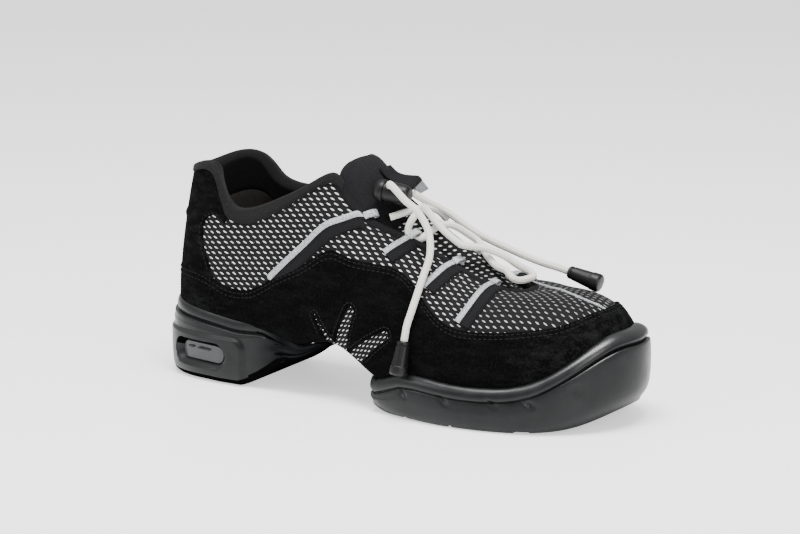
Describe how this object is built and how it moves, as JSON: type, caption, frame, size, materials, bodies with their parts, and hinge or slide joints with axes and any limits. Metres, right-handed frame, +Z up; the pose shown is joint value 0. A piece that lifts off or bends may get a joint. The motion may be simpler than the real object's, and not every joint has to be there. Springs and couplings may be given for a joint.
{
  "type": "dance shoe",
  "caption": "Low right dance shoe: black mesh and suede upper on a split sole with a raised arch, closed by an elastic lace and a barrel cord lock.",
  "frame": {"origin": "middle of the shoe's footprint, on the floor", "axes": "+X from the heel to the toe, +Y to the inner (medial) side, +Z up from the floor"},
  "size_m": [0.265, 0.0983, 0.121],
  "materials": {
    "mesh_fabric": "black net over pale ground, padded black collar fabric",
    "suede": "black napped suede",
    "webbing": "black woven webbing with a silver strip",
    "moulded_rubber": "black satin moulded rubber",
    "moulded_plastic": "black satin moulding",
    "smoked_pane": "grey clear plastic",
    "elastic_cord": "off-white round elastic cord"
  },
  "bodies": {
    "root": {"upper": "mesh_fabric", "foxing": "suede", "heel_counter": "suede", "tongue": "mesh_fabric", "insole": "mesh_fabric", "pull_loop": "webbing", "heel_sole": "moulded_rubber", "forefoot_sole": "moulded_rubber", "heel_window_lateral": "smoked_pane", "heel_window_medial": "smoked_pane", "lace_top": "elastic_cord", "lace_cross": "elastic_cord", "lace_end_near": "elastic_cord", "lace_end_far": "elastic_cord", "cord_end_near": "moulded_plastic", "cord_end_far": "moulded_plastic", "cord_lock": "moulded_plastic", "band_1_lateral": "webbing", "band_1_medial": "webbing", "band_2_lateral": "webbing", "band_2_medial": "webbing", "band_3_lateral": "webbing", "band_3_medial": "webbing", "band_4_lateral": "webbing", "band_4_medial": "webbing"}
  },
  "joints": []
}
